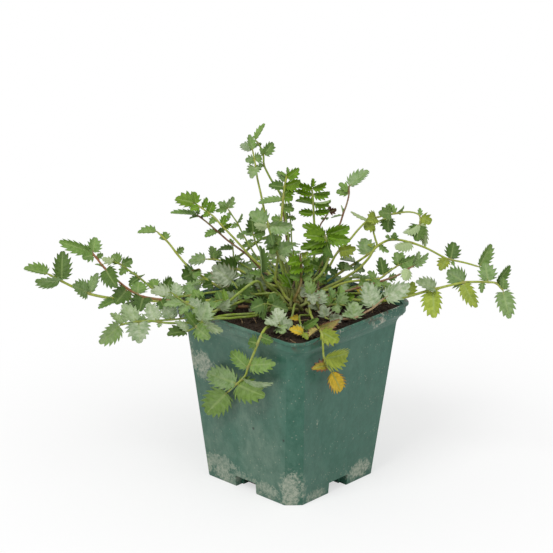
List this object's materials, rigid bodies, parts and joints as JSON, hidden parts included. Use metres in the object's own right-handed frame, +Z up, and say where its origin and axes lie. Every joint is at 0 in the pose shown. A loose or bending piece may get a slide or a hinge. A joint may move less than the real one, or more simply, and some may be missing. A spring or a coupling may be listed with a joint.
{
  "type": "potted salad burnet",
  "caption": "Salad burnet plant in a square tapered nursery pot: a loose rosette of pinnate leaves with toothed leaflets, rising, arching and hanging over the rim.",
  "frame": {"origin": "centre of the pot's underside", "axes": "+Z up along the pot's axis; X and Y parallel to the pot's sides, with the corner at +X and -Y nearest the viewer of the main view"},
  "size_m": [0.2031, 0.2078, 0.1835],
  "materials": {
    "pot": "thin moulded polypropylene, dull, with lime haze",
    "compost": "damp peat and bark fines, fibrous",
    "rootstock": "woody crown, dry and brown",
    "leaf_bright": "young bright green leaflets",
    "leaf_green": "soft mid-green leaflets, faint bloom",
    "leaf_grey": "grey-green leaflets with a powdery bloom",
    "leaf_white": "leaflets whitened by bloom",
    "leaf_yellow": "old leaflets turning yellow and brown"
  },
  "bodies": {
    "root": {"arching_leaf_01": "leaf_green", "arching_leaf_02": "leaf_grey", "arching_leaf_03": "leaf_green", "arching_leaf_04": "leaf_green", "arching_leaf_05": "leaf_bright", "arching_leaf_06": "leaf_grey", "arching_leaf_07": "leaf_green", "arching_leaf_08": "leaf_green", "arching_leaf_09": "leaf_grey", "arching_leaf_10": "leaf_green", "arching_leaf_11": "leaf_grey", "back_leaf_01": "leaf_green", "back_leaf_02": "leaf_grey", "back_leaf_03": "leaf_green", "back_leaf_04": "leaf_green", "back_leaf_05": "leaf_grey", "back_leaf_06": "leaf_green", "back_leaf_07": "leaf_grey", "back_leaf_08": "leaf_green", "compost": "compost", "hanging_leaf_01": "leaf_green", "hanging_leaf_02": "leaf_yellow", "low_leaf_01": "leaf_green", "low_leaf_02": "leaf_green", "low_leaf_03": "leaf_green", "low_leaf_04": "leaf_grey", "low_leaf_05": "leaf_grey", "low_leaf_06": "leaf_grey", "low_leaf_07": "leaf_grey", "low_leaf_08": "leaf_green", "old_leaf_01": "leaf_yellow", "pot": "pot", "rim_leaf_01": "leaf_white", "rim_leaf_02": "leaf_white", "rim_leaf_03": "leaf_grey", "rim_leaf_04": "leaf_green", "rim_leaf_05": "leaf_grey", "rim_leaf_06": "leaf_green", "rim_leaf_07": "leaf_green", "rim_leaf_08": "leaf_green", "rootstock": "rootstock", "tall_leaf_01": "leaf_green", "tall_leaf_02": "leaf_grey", "tall_leaf_03": "leaf_green", "tall_leaf_04": "leaf_bright", "tall_leaf_05": "leaf_green", "tall_leaf_06": "leaf_green", "tall_leaf_07": "leaf_grey", "tall_leaf_08": "leaf_bright", "tall_leaf_09": "leaf_green", "tall_leaf_10": "leaf_grey", "young_leaf_01": "leaf_bright", "young_leaf_02": "leaf_green", "young_leaf_03": "leaf_bright", "young_leaf_04": "leaf_bright", "young_leaf_05": "leaf_green", "young_leaf_06": "leaf_bright", "young_leaf_07": "leaf_bright"}
  },
  "joints": []
}
